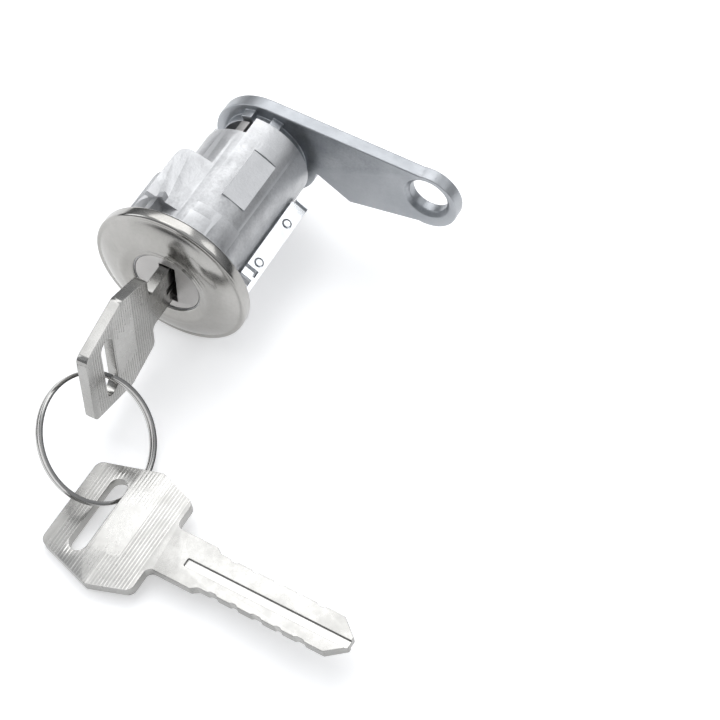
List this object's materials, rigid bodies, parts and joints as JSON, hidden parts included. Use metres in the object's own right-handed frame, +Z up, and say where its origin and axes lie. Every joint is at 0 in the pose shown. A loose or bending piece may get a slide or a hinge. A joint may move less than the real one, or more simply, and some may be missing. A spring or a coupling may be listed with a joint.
{
  "type": "cylinder lock with rod lever",
  "caption": "Round-faced key-turned barrel lock with a flat rod lever, sprung wafers, a key in the plug and a spare key on a split ring.",
  "frame": {"origin": "on the lock axis, at the back of the flange where the panel face lies", "axes": "+Y along the lock axis from the key side to the lever, +Z up, +X to the right of a person putting the key in"},
  "size_m": [0.0804, 0.0982, 0.0322],
  "materials": {
    "cast_zinc": "shot-blasted zinc die casting, cool light grey",
    "plug_zinc": "machined and tumbled zinc, satin",
    "lever_zinc": "bright zinc-plated casting, fine speckle",
    "cap_steel": "drawn stainless, satin to bright, warm grey",
    "strip_steel": "bright zinc-plated strip, bluish",
    "spring_steel": "drawn wire, bright",
    "ring_steel": "nickel-plated spring wire",
    "key_nickel": "nickel-plated, fine ribs on the bow",
    "wafer_brass": "stamped brass"
  },
  "bodies": {
    "barrel": {"housing": "cast_zinc", "face_cap": "cap_steel", "return_spring": "spring_steel", "retaining_strip": "strip_steel", "strip_rivets": "strip_steel"},
    "plug": {"plug": "plug_zinc", "plug_face": "plug_zinc", "shutter_pin": "spring_steel", "shutter_spring": "spring_steel", "driver": "plug_zinc", "lever_washer": "strip_steel", "lever_clip": "spring_steel", "wafer_spring_1": "spring_steel", "wafer_spring_2": "spring_steel", "wafer_spring_3": "spring_steel", "wafer_spring_4": "spring_steel", "wafer_spring_5": "spring_steel", "wafer_spring_6": "spring_steel", "wafer_spring_7": "spring_steel", "wafer_spring_8": "spring_steel"},
    "lever": {"lever": "lever_zinc"},
    "shutter": {"shutter": "spring_steel"},
    "key_in_lock": {"key_1": "key_nickel"},
    "ring": {"split_ring": "ring_steel"},
    "loose_key": {"key_2": "key_nickel"},
    "wafer_1": {"wafer_1": "wafer_brass"},
    "wafer_2": {"wafer_2": "wafer_brass"},
    "wafer_3": {"wafer_3": "wafer_brass"},
    "wafer_4": {"wafer_4": "wafer_brass"},
    "wafer_5": {"wafer_5": "wafer_brass"},
    "wafer_6": {"wafer_6": "wafer_brass"},
    "wafer_7": {"wafer_7": "wafer_brass"},
    "wafer_8": {"wafer_8": "wafer_brass"}
  },
  "joints": [
    {"name": "plug_turn", "type": "hinge", "parent": "barrel", "child": "plug", "pos_m": [0, 0, 0], "axis": [0, 1, 0], "range_deg": [-80, 0], "stiffness_Nm_per_rad": 0.1},
    {"name": "lever_play", "type": "hinge", "parent": "plug", "child": "lever", "pos_m": [0, 0.035, 0], "axis": [0, 1, 0], "range_deg": [-5.5, 5.5], "stiffness_Nm_per_rad": 0.1},
    {"name": "key_slide", "type": "slide", "parent": "plug", "child": "key_in_lock", "axis": [0, -1, 0], "range_m": [0, 0.12]},
    {"name": "ring_swing", "type": "hinge", "parent": "key_in_lock", "child": "ring", "pos_m": [0, -0.02519, -0.00352], "axis": [-0.6431, -0.4422, 0.6252], "range_deg": [-20, 45]},
    {"name": "loose_key_swing", "type": "hinge", "parent": "ring", "child": "loose_key", "pos_m": [0.01101, -0.04357, -0.01308], "axis": [0.4461, 0.7712, -0.4542], "range_deg": [-15, 30]},
    {"name": "shutter_swing", "type": "hinge", "parent": "plug", "child": "shutter", "pos_m": [0.0032, -0.0023, 0], "axis": [0, 0, 1], "range_deg": [0, 88.2]},
    {"name": "wafer_1_slide", "type": "slide", "parent": "plug", "child": "wafer_1", "axis": [0, 0, 1], "range_m": [0, 0.00081], "deforming": ["wafer_spring_1"]},
    {"name": "wafer_2_slide", "type": "slide", "parent": "plug", "child": "wafer_2", "axis": [0, 0, -1], "range_m": [0, 0.00081], "deforming": ["wafer_spring_2"]},
    {"name": "wafer_3_slide", "type": "slide", "parent": "plug", "child": "wafer_3", "axis": [0, 0, 1], "range_m": [0, 0.00081], "deforming": ["wafer_spring_3"]},
    {"name": "wafer_4_slide", "type": "slide", "parent": "plug", "child": "wafer_4", "axis": [0, 0, -1], "range_m": [0, 0.00081], "deforming": ["wafer_spring_4"]},
    {"name": "wafer_5_slide", "type": "slide", "parent": "plug", "child": "wafer_5", "axis": [0, 0, 1], "range_m": [0, 0.00081], "deforming": ["wafer_spring_5"]},
    {"name": "wafer_6_slide", "type": "slide", "parent": "plug", "child": "wafer_6", "axis": [0, 0, -1], "range_m": [0, 0.00081], "deforming": ["wafer_spring_6"]},
    {"name": "wafer_7_slide", "type": "slide", "parent": "plug", "child": "wafer_7", "axis": [0, 0, 1], "range_m": [0, 0.00081], "deforming": ["wafer_spring_7"]},
    {"name": "wafer_8_slide", "type": "slide", "parent": "plug", "child": "wafer_8", "axis": [0, 0, -1], "range_m": [0, 0.00081], "deforming": ["wafer_spring_8"]}
  ],
  "couplings": [
    {"joint": "shutter_swing", "follows": "key_slide", "rad_per_m": 12.799},
    {"joint": "wafer_1_slide", "follows": "key_slide", "ratio": 0.0066667},
    {"joint": "wafer_2_slide", "follows": "key_slide", "ratio": 0.0066667},
    {"joint": "wafer_3_slide", "follows": "key_slide", "ratio": 0.0066667},
    {"joint": "wafer_4_slide", "follows": "key_slide", "ratio": 0.0066667},
    {"joint": "wafer_5_slide", "follows": "key_slide", "ratio": 0.0066667},
    {"joint": "wafer_6_slide", "follows": "key_slide", "ratio": 0.0066667},
    {"joint": "wafer_7_slide", "follows": "key_slide", "ratio": 0.0066667},
    {"joint": "wafer_8_slide", "follows": "key_slide", "ratio": 0.0066667}
  ]
}
